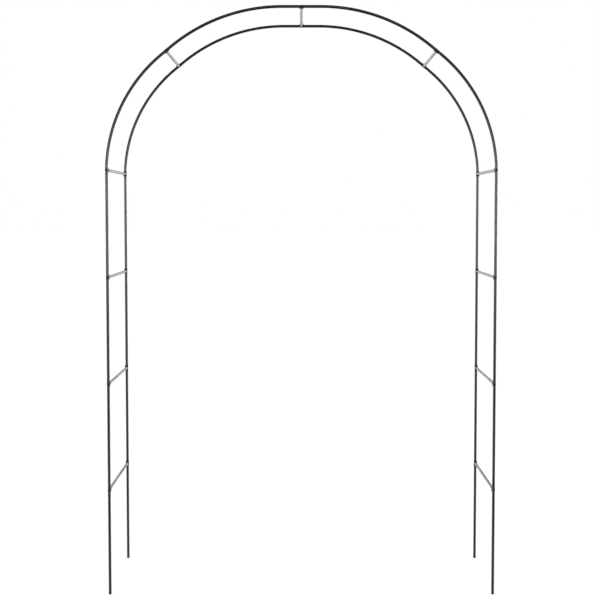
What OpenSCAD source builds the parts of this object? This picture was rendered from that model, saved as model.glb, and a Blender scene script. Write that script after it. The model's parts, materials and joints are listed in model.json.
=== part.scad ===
// Metal trellis arch: two tubular hoops stand one behind the other, tied by eleven crossbars.
// Each hoop is a run of push-fit tubes. A screw passes through every joint of a hoop and a
// saddle spacer into the end of a crossbar, so the screws hold both joints and crossbars.
// Frame: the origin is on the ground in the middle of the arch, +X is to the right,
// +Y is to the rear and +Z is up. Sizes are in millimetres, angles in degrees.

/* [Arch] */
// Overall height, from the ground to the top of the hoops
arch_h = 2400; // [2380:5:2440]
// Distance between the centre lines of a hoop's two legs
leg_spread = 1574; // [1560:2:1600]
// Distance between the centre lines of the front and rear hoops
hoop_spacing = 380; // [250:5:600]
// Height of one leg section, from joint to joint
section_h = 435; // [430:1:440]

/* [Curve] */
// Lean of a haunch tube as it leaves its socket, from the vertical
haunch_lean = 3.5; // [1:0.5:5]
// Centre-line radius of the short bend that makes the lean
lean_bend_r = 120; // [80:10:200]
// Straight stretch of a haunch tube above the spring joint
spring_straight = 14; // [14:1:20]
// Straight stretch between the short bend and the long one
lean_straight = 2; // [1:1:10]
// Slope of the hoop at the shoulder joint, from the vertical
shoulder_slope = 50.5; // [48:0.5:52]
// Straight stretch of the hoop through the shoulder joint
shoulder_straight = 48; // [48:1:60]
// Straight stretch of the hoop on each side of the crown joint
crown_straight = 78; // [50:1:90]

/* [Tube] */
// Outside diameter of the hoop tubes and crossbars
tube_d = 12; // [11:0.5:14]
// Wall thickness of the tubes
wall = 0.8; // [0.6:0.1:1]
// Radial play between a reduced tube end and its socket
socket_play = 0.1; // [0.05:0.05:0.2]

/* [Joints] */
// How far a socket reaches beyond the screw, over the reduced end
socket_reach = 11; // [10:1:19]
// How far the reduced end reaches beyond the screw, into the socket
reduced_reach = 12; // [8:1:12]
// Bare neck between the mouth of a socket and the shoulder of the reduced end
neck_gap = 2; // [0.5:0.5:2]
// Height of the cone between the full tube and its reduced end
neck_cone = 1.5; // [1:0.5:2]

/* [Screws] */
// Diameter of the screw shank
screw_d = 5; // [4:0.5:5]
// Length of the screw under its head
screw_len = 30; // [28:1:34]
// Diameter of the screw head
head_d = 9.5; // [8:0.5:12]
// Height of the screw head
head_h = 2.75; // [2.25:0.25:4]
// Height of the straight rim under the dome of the screw head
head_rim = 0.6; // [0.3:0.1:1]
// Width across the flats of the socket in the screw head
drive_af = 3; // [2.5:0.5:4]
// Depth of the socket in the screw head
drive_depth = 1.6; // [1:0.1:1.8]
// Radial play of the screw in the holes of the tubes and saddles
screw_play = 0.2; // [0.1:0.05:0.4]

/* [Saddles] */
// Length of a saddle spacer along the hoop tube
saddle_len = 26; // [20:1:27]
// Thickness of a saddle spacer's walls beside the hoop tube
saddle_wall = 0.9; // [0.5:0.1:2]
// Thickness of the collar round the end of the crossbar
saddle_collar = 1; // [0.5:0.5:2.5]
// Thickness between the hoop tube and the end of the crossbar
saddle_floor = 2; // [1.5:0.5:5]
// Depth of the round recess that takes the end of the crossbar
saddle_recess = 1.5; // [1:0.5:3]
// How far the saddle's lips stop short of the hoop tube's centre plane
saddle_lip = 2.5; // [1:0.5:4]

/* [Inserts and plugs] */
// Length of the threaded insert in each end of a crossbar
insert_len = 16; // [12:1:20]
// How far the insert sits inside the end of the crossbar
insert_recess = 0.5; // [0.1:0.1:1]
// Height of a foot plug's head below the end of the tube
plug_head_h = 6; // [4:1:12]
// Radius of the rounded rim at the bottom of a foot plug
plug_round = 2.2; // [1:0.1:3.5]
// Length of a foot plug's stem inside the tube
plug_stem_len = 14; // [8:1:30]
// Chamfer at the tip of a foot plug's stem
plug_chamfer = 1; // [0.5:0.1:1.5]

/* [Hidden] */
$fn = 64;
HOOPS = ["front", "rear"];
SIDES = ["left", "right"];
SECTIONS = ["foot", "lower", "middle", "upper"];
TIES = concat(SECTIONS, ["shoulder"]);

tube_r = tube_d / 2;
bore_r = tube_r - wall;
reduced_r = bore_r - socket_play;
screw_hole_r = screw_d / 2 + screw_play;
fit_gap = 0.05;     // radial gap of parts that sit snugly on or in each other
bend_draw = 0.02;   // how much bending thins the wall of a tube, at each of its faces
lap = 0.3;          // how far a straight stretch runs into the bend beside it
cut = 1;            // how far a cutting shape runs past what it cuts
rim_step = 15;      // angle between the points of a foot plug's rounded rim

// Plan of the arch, seen from the front
half_spread = leg_spread / 2;
spring_z = section_h * len(SECTIONS);
crown_z = arch_h - tube_r;
bar_len = hoop_spacing - 2 * (tube_r + saddle_floor);

// The haunch and crown bends share out what the straight stretches and the lean leave over.
haunch_turn = shoulder_slope - haunch_lean;
crown_turn = 90 - shoulder_slope;
bend_run_x = half_spread - crown_straight - shoulder_straight * sin(shoulder_slope)
    - lean_bend_r * (1 - cos(haunch_lean)) - lean_straight * sin(haunch_lean);
bend_rise_z = crown_z - spring_z - spring_straight - shoulder_straight * cos(shoulder_slope)
    - lean_bend_r * sin(haunch_lean) - lean_straight * cos(haunch_lean);
haunch_dx = cos(haunch_lean) - cos(shoulder_slope);
haunch_dz = sin(shoulder_slope) - sin(haunch_lean);
crown_dx = cos(shoulder_slope);
crown_dz = 1 - sin(shoulder_slope);
bend_det = haunch_dx * crown_dz - haunch_dz * crown_dx;
haunch_r = (bend_run_x * crown_dz - bend_rise_z * crown_dx) / bend_det;
crown_r = (haunch_dx * bend_rise_z - haunch_dz * bend_run_x) / bend_det;

// Middle of the shoulder joint, measured back from the crown
shoulder_x = crown_straight + crown_r * crown_dx + shoulder_straight / 2 * sin(shoulder_slope);
shoulder_z = crown_z - crown_r * crown_dz - shoulder_straight / 2 * cos(shoulder_slope);

// Every joint as [x, z, lean of the tube about Y]
function side_joints(side) = concat(
    [for (i = [1:len(SECTIONS)]) [side * half_spread, i * section_h, 0]],
    [[side * shoulder_x, shoulder_z, -side * shoulder_slope]]
);
CROWN_JOINT = [0, crown_z, 90];
JOINTS = concat(side_joints(-1), [CROWN_JOINT], side_joints(1));

GREEN = [0.09, 0.18, 0.09];
PALE_GREEN = [0.58, 0.59, 0.54];
BLACK = [0.04, 0.04, 0.04];
ZINC = [0.7, 0.7, 0.68];

// Moves a part of the front hoop's left half to either hoop and either side
module in_hoop(hoop, side)
    translate([0, (hoop - 0.5) * hoop_spacing, 0]) rotate([0, 0, side * 180]) children();

// Puts a part at a joint: the hoop tube runs along Z, and +Y points at the other hoop
module at_joint(joint, hoop)
    translate([joint[0], (hoop - 0.5) * hoop_spacing, joint[1]])
        rotate([0, joint[2], 0]) rotate([0, 0, hoop * 180]) children();

// Plain tube along Z
module pipe(from, to)
    rotate_extrude() translate([bore_r, from]) square([wall, to - from]);

// Tube along Z with a reduced end, whose screw is at the height joint
module reduced_pipe(from, joint) {
    neck = joint - socket_reach - neck_gap;
    tip = joint + reduced_reach;
    rotate_extrude() polygon([
        [tube_r, from], [tube_r, neck - neck_cone], [reduced_r, neck], [reduced_r, tip],
        [reduced_r - wall, tip], [reduced_r - wall, neck], [bore_r, neck - neck_cone], [bore_r, from]
    ]);
}

// Bent tube that starts along Z at the origin and turns towards +X
module bend(radius, turn)
    translate([radius, 0, 0]) rotate([90, 0, 180]) rotate_extrude(angle = turn)
        translate([radius, 0]) difference() {
            circle(r = tube_r - bend_draw);
            circle(r = bore_r + bend_draw);
        }

// Carries the next piece of tube to the end of a bend
module after_bend(radius, turn)
    translate([radius, 0, 0]) rotate([0, turn, 0]) translate([-radius, 0, 0]) children();

// Hole for a joint's screw, through both walls of a tube along Z
module screw_hole(z)
    translate([0, 0, z]) rotate([90, 0, 0])
        cylinder(h = tube_d + 2 * cut, r = screw_hole_r, center = true);

// Straight leg tube: section 0 stands on its foot plug, the others on the section below
module leg_tube(section) color(GREEN) {
    joint_below = section * section_h;
    joint_above = joint_below + section_h;
    foot = section == 0 ? plug_head_h : joint_below - socket_reach;
    translate([-half_spread, 0, 0]) difference() {
        reduced_pipe(foot, joint_above);
        screw_hole(joint_above);
        if (section > 0) screw_hole(joint_below);
    }
}

// Curved tube from the spring joint to the shoulder joint
module haunch_tube() color(GREEN)
    translate([-half_spread, 0, spring_z]) difference() {
        union() {
            pipe(-socket_reach, spring_straight + lap);
            translate([0, 0, spring_straight]) bend(lean_bend_r, haunch_lean);
            to_haunch() pipe(-lean_straight - lap, lap);
            to_haunch() bend(haunch_r, haunch_turn);
            to_shoulder() reduced_pipe(-shoulder_straight / 2 - lap, 0);
        }
        screw_hole(0);
        to_shoulder() screw_hole(0);
    }

// From the spring joint to the start of the long haunch bend
module to_haunch()
    translate([0, 0, spring_straight]) after_bend(lean_bend_r, haunch_lean)
        translate([0, 0, lean_straight]) children();

// From the spring joint to the shoulder joint
module to_shoulder()
    to_haunch() after_bend(haunch_r, haunch_turn)
        translate([0, 0, shoulder_straight / 2]) children();

// Curved tube from the shoulder joint to the crown joint. The left one ends in a reduced end,
// and the right one in the socket that takes it.
module crown_tube(side) color(GREEN)
    translate([-shoulder_x, 0, shoulder_z]) rotate([0, shoulder_slope, 0]) difference() {
        union() {
            pipe(-socket_reach, shoulder_straight / 2 + lap);
            translate([0, 0, shoulder_straight / 2]) bend(crown_r, crown_turn);
            to_crown() {
                if (side == 0) reduced_pipe(-crown_straight - lap, 0);
                else pipe(-crown_straight - lap, socket_reach);
            }
        }
        screw_hole(0);
        to_crown() screw_hole(0);
    }

// From the shoulder joint along the crown bend to the crown joint
module to_crown()
    translate([0, 0, shoulder_straight / 2]) after_bend(crown_r, crown_turn)
        translate([0, 0, crown_straight]) children();

// Crossbar that ties the front hoop to the rear one at a joint
module crossbar(joint) color(PALE_GREEN)
    translate([joint[0], 0, joint[1]]) rotate([90, 0, 0]) pipe(-bar_len / 2, bar_len / 2);

// Saddle spacers: one side is hollowed for the hoop tube, the other for the crossbar's end
module saddles(hoop) color(BLACK)
    for (joint = JOINTS) at_joint(joint, hoop) saddle();

// Saddle spacer: a cone that widens from the collar round the crossbar to the hoop tube,
// cut flat on both sides of the tube
module saddle() {
    saddle_w = tube_d + 2 * saddle_wall;
    floor_y = tube_r + saddle_floor;
    top_y = floor_y + saddle_recess;
    difference() {
        intersection() {
            translate([-saddle_w / 2, 0, -saddle_len / 2]) cube([saddle_w, top_y + cut, saddle_len]);
            translate([0, saddle_lip, 0]) rotate([-90, 0, 0])
                cylinder(h = top_y - saddle_lip, r1 = saddle_len / 2, r2 = tube_r + saddle_collar);
        }
        cylinder(h = saddle_len + 2 * cut, r = tube_r + fit_gap, center = true);
        translate([0, floor_y, 0]) rotate([-90, 0, 0])
            cylinder(h = saddle_recess + cut, r = tube_r + 2 * fit_gap);
        rotate([-90, 0, 0]) cylinder(h = floor_y + cut, r = screw_hole_r);
    }
}

// Screws: each passes inwards through the hoop tube and the saddle into the crossbar
module screws(hoop) color(BLACK)
    for (joint = JOINTS) at_joint(joint, hoop)
        translate([0, -tube_r, 0]) rotate([-90, 0, 0]) screw();

// Screw along Z, with the underside of its domed head at the origin
module screw() {
    dome_h = head_h - head_rim;
    dome_r = (dome_h * dome_h + head_d * head_d / 4) / (2 * dome_h);
    cylinder(h = screw_len, r = screw_d / 2 - fit_gap);
    difference() {
        intersection() {
            translate([0, 0, -head_h]) cylinder(h = head_h, r = head_d / 2);
            translate([0, 0, dome_r - head_h]) sphere(r = dome_r, $fn = 96);
        }
        translate([0, 0, -head_h - cut])
            cylinder(h = drive_depth + cut, r = drive_af / 2 / cos(30), $fn = 6);
    }
}

// Threaded inserts, pressed into the end of each crossbar at one hoop
module thread_inserts(hoop) color(ZINC)
    for (joint = JOINTS) at_joint(joint, hoop)
        translate([0, tube_r + saddle_floor + insert_recess, 0]) rotate([-90, 0, 0]) rotate_extrude()
            translate([screw_d / 2, 0]) square([bore_r - fit_gap - screw_d / 2, insert_len]);

// Plug that closes the foot of a leg and rests on the ground
module foot_plug() color(BLACK) {
    rim_x = tube_r - plug_round;
    stem_r = bore_r - fit_gap;
    tip = plug_head_h + plug_stem_len;
    translate([-half_spread, 0, 0]) rotate_extrude() polygon(concat(
        [[0, 0]],
        [for (a = [0:rim_step:90]) [rim_x + plug_round * sin(a), plug_round * (1 - cos(a))]],
        [[tube_r, plug_head_h], [stem_r, plug_head_h], [stem_r, tip - plug_chamfer]],
        [[stem_r - plug_chamfer, tip], [0, tip]]
    ));
}

for (h = [0, 1], s = [0, 1]) {
    hand = str(HOOPS[h], "_", SIDES[s], "_");
    for (i = [0:len(SECTIONS) - 1])
        in_hoop(h, s) leg_tube(i);
    in_hoop(h, s) haunch_tube();
    in_hoop(h, s) crown_tube(s);
    in_hoop(h, s) foot_plug();
}
for (s = [0, 1], i = [0:len(TIES) - 1])
    crossbar(side_joints(2 * s - 1)[i]);
crossbar(CROWN_JOINT);  // crown_crossbar
for (h = [0, 1]) {
    saddles(h);
    screws(h);
    thread_inserts(h);
}
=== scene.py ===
import json
import math

import bpy
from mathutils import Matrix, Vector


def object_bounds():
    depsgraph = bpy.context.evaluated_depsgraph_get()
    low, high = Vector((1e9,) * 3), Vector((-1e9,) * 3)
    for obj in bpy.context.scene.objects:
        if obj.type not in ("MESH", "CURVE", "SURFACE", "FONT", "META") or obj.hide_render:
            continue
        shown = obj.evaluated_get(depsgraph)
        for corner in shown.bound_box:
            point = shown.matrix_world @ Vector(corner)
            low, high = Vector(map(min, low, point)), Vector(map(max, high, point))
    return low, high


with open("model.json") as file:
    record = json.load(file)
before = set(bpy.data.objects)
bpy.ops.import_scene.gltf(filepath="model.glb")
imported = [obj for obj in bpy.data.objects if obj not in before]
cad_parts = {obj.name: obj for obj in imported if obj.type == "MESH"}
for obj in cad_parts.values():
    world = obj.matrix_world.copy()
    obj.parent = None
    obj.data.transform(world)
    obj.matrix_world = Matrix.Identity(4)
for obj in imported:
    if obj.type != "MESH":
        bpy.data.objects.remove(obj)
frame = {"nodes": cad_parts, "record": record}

# The looks of a metal trellis arch. All its pieces are CAD nodes and keep their shapes: this
# script gives each of them its finish, and sets up the studio. Sizes are in metres.

CAD_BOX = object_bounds()
NODES = frame["nodes"]
RECORD = frame["record"]
SCENE = bpy.context.scene

WHITE = (1.0, 1.0, 1.0, 1.0)

# The Mix node's sockets of one kind share their names, so they are found by number.
MIX_VALUES = (2, 3)
MIX_VALUE_OUT = 0
MIX_COLOURS = (6, 7)
MIX_COLOUR_OUT = 2


# ---------------------------------------------------------------- node helpers

def new_material(name):
    """A material with its Principled shader."""
    material = bpy.data.materials.new(name)
    material.use_nodes = True
    return material, material.node_tree.nodes["Principled BSDF"]


def node(tree, kind, inputs=None, **settings):
    """A node with its settings, and its inputs given as values or as sockets to link from."""
    made = tree.nodes.new(kind)
    for key, value in settings.items():
        setattr(made, key, value)
    for key, value in (inputs or {}).items():
        if isinstance(value, bpy.types.NodeSocket):
            tree.links.new(value, made.inputs[key])
        else:
            made.inputs[key].default_value = value
    return made


def object_coords(tree):
    """Places in the object's own frame."""
    return node(tree, "ShaderNodeTexCoord").outputs["Object"]


def height(tree, coords):
    """Height above the ground."""
    return node(tree, "ShaderNodeSeparateXYZ", {0: coords}).outputs["Z"]


def noise(tree, coords, scale, detail=3.0, roughness=0.5):
    """Noise from 0 to 1, with its scale in cells per metre."""
    inputs = {"Vector": coords, "Scale": scale, "Detail": detail, "Roughness": roughness}
    return node(tree, "ShaderNodeTexNoise", inputs).outputs["Fac"]


def spread(tree, value, low, high, to_low=0.0, to_high=1.0):
    """Maps a value from low..high to to_low..to_high, clamped and eased at both ends."""
    inputs = {"Value": value, "From Min": low, "From Max": high, "To Min": to_low, "To Max": to_high}
    made = node(tree, "ShaderNodeMapRange", inputs, interpolation_type="SMOOTHSTEP")
    return made.outputs["Result"]


def mix_value(tree, factor, first, second):
    """First value where factor is 0, second where it is 1."""
    inputs = {"Factor": factor, MIX_VALUES[0]: first, MIX_VALUES[1]: second}
    return node(tree, "ShaderNodeMix", inputs).outputs[MIX_VALUE_OUT]


def mix_colour(tree, factor, first, second):
    """First colour where factor is 0, second where it is 1. Colours are linear (r, g, b)."""
    made = node(tree, "ShaderNodeMix", {"Factor": factor}, data_type="RGBA")
    for index, colour in zip(MIX_COLOURS, (first, second)):
        if isinstance(colour, bpy.types.NodeSocket):
            tree.links.new(colour, made.inputs[index])
        else:
            made.inputs[index].default_value = (*colour, 1.0)
    return made.outputs[MIX_COLOUR_OUT]


def multiply(tree, first, second):
    """Product of two values."""
    return node(tree, "ShaderNodeMath", {0: first, 1: second}, operation="MULTIPLY").outputs[0]


def add(tree, first, second):
    """Sum of two values."""
    return node(tree, "ShaderNodeMath", {0: first, 1: second}, operation="ADD").outputs[0]


def bump(tree, relief, depth, below=None):
    """Bump of a relief from 0 to 1, with its full depth, on top of the bump below."""
    inputs = {"Height": relief, "Distance": depth}
    if below is not None:
        inputs["Normal"] = below
    return node(tree, "ShaderNodeBump", inputs).outputs["Normal"]


def worn_edges(tree, coords, radius):
    """1 along the sharp edges of a part, broken up by noise, and 0 on its faces."""
    rounded = node(tree, "ShaderNodeBevel", {"Radius": radius}, samples=6).outputs["Normal"]
    true_normal = node(tree, "ShaderNodeNewGeometry").outputs["Normal"]
    inputs = {0: rounded, 1: true_normal}
    alike = node(tree, "ShaderNodeVectorMath", inputs, operation="DOT_PRODUCT").outputs["Value"]
    edge = spread(tree, alike, 0.86, 0.99, 1.0, 0.0)
    return multiply(tree, edge, spread(tree, noise(tree, coords, 380.0, 5.0, 0.65), 0.42, 0.58))


def shade(colour, factor):
    """A colour made darker or lighter by a factor."""
    return tuple(channel * factor for channel in colour)


def record_colour(slot):
    """The record's base colour of a material slot."""
    for entry in RECORD["materials"]:
        if entry["slot"] == slot:
            return tuple(entry["base_color"])
    raise ValueError(slot)


# ---------------------------------------------------------------- materials

def powder_coat(slot, rough, peel, rub):
    """Powder coat on steel tube: orange peel, faint blotches, scuffs and rubbed edges.
    rough is the usual roughness, peel the depth of the orange peel, rub the colour of a scuff."""
    colour = record_colour(slot)
    material, shader = new_material(slot)
    tree = material.node_tree
    coords = object_coords(tree)

    blotches = noise(tree, coords, 9.0, 4.0)
    flecks = noise(tree, coords, 420.0, 2.0)
    scuffs = noise(tree, coords, 130.0, 6.0, 0.7)
    base = mix_colour(tree, spread(tree, blotches, 0.35, 0.65), shade(colour, 0.82), shade(colour, 1.2))
    base = mix_colour(tree, spread(tree, flecks, 0.6, 0.75, 0.0, 0.25), base, shade(colour, 1.7))
    scuffed = spread(tree, scuffs, 0.68, 0.76, 0.0, 0.35)
    base = mix_colour(tree, scuffed, base, rub)
    worn = worn_edges(tree, coords, radius=0.0007)
    base = mix_colour(tree, multiply(tree, worn, 0.7), base, rub)
    tree.links.new(base, shader.inputs["Base Color"])

    clouds = noise(tree, coords, 55.0, 4.0)
    roughness = spread(tree, clouds, 0.3, 0.7, rough - 0.06, rough + 0.08)
    roughness = add(tree, roughness, multiply(tree, add(tree, scuffed, worn), 0.25))
    tree.links.new(roughness, shader.inputs["Roughness"])

    ripple = bump(tree, noise(tree, coords, 60.0, 2.0), peel * 2.5)
    orange_peel = bump(tree, noise(tree, coords, 520.0, 2.0), peel, below=ripple)
    tree.links.new(orange_peel, shader.inputs["Normal"])
    shader.inputs["Specular Tint"].default_value = (0.85, 1.0, 0.82, 1.0)
    shader.inputs["Coat Weight"].default_value = 0.15
    shader.inputs["Coat Roughness"].default_value = 0.12
    return material


def moulded_plastic(slot, rough, grain):
    """Moulded plastic with a fine eroded grain, paler rubs and edges, and dust low down.
    rough is the usual roughness, grain the depth of the grain."""
    colour = record_colour(slot)
    material, shader = new_material(slot)
    tree = material.node_tree
    coords = object_coords(tree)

    flow = noise(tree, coords, 70.0, 3.0)
    rubs = noise(tree, coords, 240.0, 5.0, 0.65)
    base = mix_colour(tree, spread(tree, flow, 0.35, 0.65), shade(colour, 0.75), shade(colour, 1.35))
    base = mix_colour(tree, spread(tree, rubs, 0.6, 0.75, 0.0, 0.5), base, shade(colour, 4.0))
    worn = worn_edges(tree, coords, radius=0.0005)
    base = mix_colour(tree, multiply(tree, worn, 0.5), base, shade(colour, 7.0))
    low_down = spread(tree, height(tree, coords), 0.0, 0.012, 0.6, 0.0)
    dust = multiply(tree, low_down, spread(tree, noise(tree, coords, 500.0, 4.0), 0.4, 0.65))
    soil = (0.12, 0.095, 0.065)
    base = mix_colour(tree, dust, base, soil)
    tree.links.new(base, shader.inputs["Base Color"])

    tree.links.new(spread(tree, rubs, 0.35, 0.7, rough + 0.08, rough - 0.1), shader.inputs["Roughness"])
    tree.links.new(bump(tree, noise(tree, coords, 1900.0, 2.0), grain), shader.inputs["Normal"])
    shader.inputs["Specular IOR Level"].default_value = 0.18
    return material


def coated_screw(slot):
    """Black coated screw steel: satin, with a fine grain, bare glints and rubbed edges."""
    colour = record_colour(slot)
    material, shader = new_material(slot)
    tree = material.node_tree
    coords = object_coords(tree)

    patches = noise(tree, coords, 350.0, 4.0)
    glints = noise(tree, coords, 900.0, 6.0, 0.7)
    worn = worn_edges(tree, coords, radius=0.0003)
    bare = add(tree, spread(tree, glints, 0.64, 0.72), multiply(tree, worn, 0.6))
    base = mix_colour(tree, spread(tree, patches, 0.35, 0.65), shade(colour, 0.7), shade(colour, 1.6))
    bare_steel = (0.16, 0.16, 0.155)
    base = mix_colour(tree, multiply(tree, bare, 0.6), base, bare_steel)
    tree.links.new(base, shader.inputs["Base Color"])
    tree.links.new(multiply(tree, bare, 0.7), shader.inputs["Metallic"])
    tree.links.new(spread(tree, patches, 0.3, 0.7, 0.4, 0.58), shader.inputs["Roughness"])
    tree.links.new(bump(tree, glints, 0.00003), shader.inputs["Normal"])
    shader.inputs["Specular IOR Level"].default_value = 0.2
    return material


def zinc_plate(slot):
    """Zinc-plated steel with a cloudy passivated surface."""
    colour = record_colour(slot)
    material, shader = new_material(slot)
    tree = material.node_tree
    coords = object_coords(tree)

    clouds = noise(tree, coords, 300.0, 4.0)
    yellowed = (0.62, 0.6, 0.5)
    base = mix_colour(tree, spread(tree, clouds, 0.35, 0.65), shade(colour, 0.8), yellowed)
    tree.links.new(base, shader.inputs["Base Color"])
    tree.links.new(spread(tree, clouds, 0.3, 0.7, 0.28, 0.42), shader.inputs["Roughness"])
    tree.links.new(bump(tree, noise(tree, coords, 1500.0, 2.0), 0.00002), shader.inputs["Normal"])
    shader.inputs["Metallic"].default_value = 1.0
    return material


def dress_nodes():
    """Puts each CAD node's finish into its own material slot."""
    finishes = {
        "hoop_tube": powder_coat("hoop_tube", rough=0.24, peel=0.00004, rub=(0.05, 0.085, 0.055)),
        # The crossbars' pale colour from the record is in part a painted reflection: the glare off the
        # green bars at a grazing angle is given to them as colour.
        "crossbar": powder_coat("crossbar", rough=0.34, peel=0.00003, rub=(0.42, 0.43, 0.4)),
        "saddle": moulded_plastic("saddle", rough=0.58, grain=0.00004),
        "screw": coated_screw("screw"),
        "thread_insert": zinc_plate("thread_insert"),
        "foot_plug": moulded_plastic("foot_plug", rough=0.6, grain=0.00005),
    }
    for part in RECORD["subparts"]:
        for material_slot in NODES[part["node"]].material_slots:
            material_slot.material = finishes[part["material_slot"]]


# ---------------------------------------------------------------- studio

def make_floor():
    """Plain pale floor, wide enough to reach the horizon from every side. It glows a little, so
    that it meets the white view without an edge, and neither gloss nor soft light sees it."""
    half = 60.0
    drop = 0.0002
    glow = 0.45
    mesh = bpy.data.meshes.new("floor")
    corners = [(-half, -half, 0.0), (half, -half, 0.0), (half, half, 0.0), (-half, half, 0.0)]
    mesh.from_pydata(corners, [], [(0, 1, 2, 3)])
    floor = bpy.data.objects.new("floor", mesh)
    SCENE.collection.objects.link(floor)
    floor.location.z = CAD_BOX[0][2] - drop
    material, shader = new_material("floor")
    shader.inputs["Base Color"].default_value = (0.87, 0.87, 0.87, 1.0)
    shader.inputs["Roughness"].default_value = 0.9
    shader.inputs["Specular IOR Level"].default_value = 0.1
    shader.inputs["Emission Color"].default_value = WHITE
    shader.inputs["Emission Strength"].default_value = glow
    mesh.materials.append(material)
    floor.visible_diffuse = False
    floor.visible_glossy = False


def make_world():
    """A white studio as the arch sees it. Its gloss mirrors a bright wall all round, which is
    dimmer and taller at the back, a floor that is bright to the sides and the back, and a dark
    ceiling. Soft light comes from all sides, most of it from below and least from the front. The
    view is plain white."""
    world = bpy.data.worlds.new("studio")
    world.use_nodes = True
    tree = world.node_tree
    direction = node(tree, "ShaderNodeTexCoord").outputs["Generated"]
    parts = node(tree, "ShaderNodeSeparateXYZ", {0: direction})
    side = node(tree, "ShaderNodeMath", {0: parts.outputs["X"]}, operation="ABSOLUTE").outputs[0]
    depth = parts.outputs["Y"]
    rise = parts.outputs["Z"]

    wall_foot = spread(tree, rise, -0.1, -0.035)
    wall_top = spread(tree, depth, 0.1, 0.8, 0.125, 0.3)
    wall = multiply(tree, wall_foot, spread(tree, rise, 0.07, wall_top, 1.0, 0.0))
    wall = multiply(tree, wall, spread(tree, depth, 0.1, 0.8, 4.4, 2.2))
    ground_at_sides = spread(tree, side, 0.5, 0.9, 0.05, 1.9)
    ground_at_back = spread(tree, depth, 0.1, 0.7, 0.0, 1.0)
    ground = add(tree, ground_at_sides, ground_at_back)
    ground = multiply(tree, ground, spread(tree, rise, -0.14, -0.06, 1.0, 0.0))
    ceiling = 0.02
    mirrored = add(tree, add(tree, wall, ground), ceiling)

    from_below = spread(tree, rise, -0.4, 0.4, 1.1, 0.5)
    from_behind = spread(tree, depth, -0.9, -0.1, 0.6, 1.0)
    soft = multiply(tree, from_below, from_behind)

    view = 1.0
    ray = node(tree, "ShaderNodeLightPath").outputs
    strength = mix_value(tree, ray["Is Glossy Ray"], soft, mirrored)
    strength = mix_value(tree, ray["Is Camera Ray"], strength, view)
    background = tree.nodes["Background"]
    background.inputs["Color"].default_value = WHITE
    tree.links.new(strength, background.inputs["Strength"])
    SCENE.world = world


def make_lights():
    """Wide soft light from straight above, which the gloss of the tubes doesn't mirror."""
    data = bpy.data.lights.new("overhead", "SUN")
    data.energy = 0.8
    data.angle = math.radians(60.0)
    overhead = bpy.data.objects.new("overhead", data)
    SCENE.collection.objects.link(overhead)
    overhead.visible_glossy = False


def make_camera():
    """Camera at eye height, centred on the arch. A level one would need twice the shift, which
    the other views keep and would be cropped by, so this one is tilted down a little."""
    distance = 3.759
    eye_height = 1.578
    tilt = math.radians(2.32)
    data = bpy.data.cameras.new("camera")
    data.sensor_width = 36.0
    data.lens = 52.9
    data.shift_x = -0.0023
    data.shift_y = -0.09
    data.clip_end = 200.0
    camera = bpy.data.objects.new("camera", data)
    SCENE.collection.objects.link(camera)
    centre_x = (CAD_BOX[0][0] + CAD_BOX[1][0]) / 2
    camera.location = (centre_x, -distance, eye_height)
    camera.rotation_euler = (math.radians(90.0) - tilt, 0.0, 0.0)
    SCENE.camera = camera


dress_nodes()
make_floor()
make_world()
make_lights()
make_camera()
SCENE.view_settings.view_transform = "Standard"
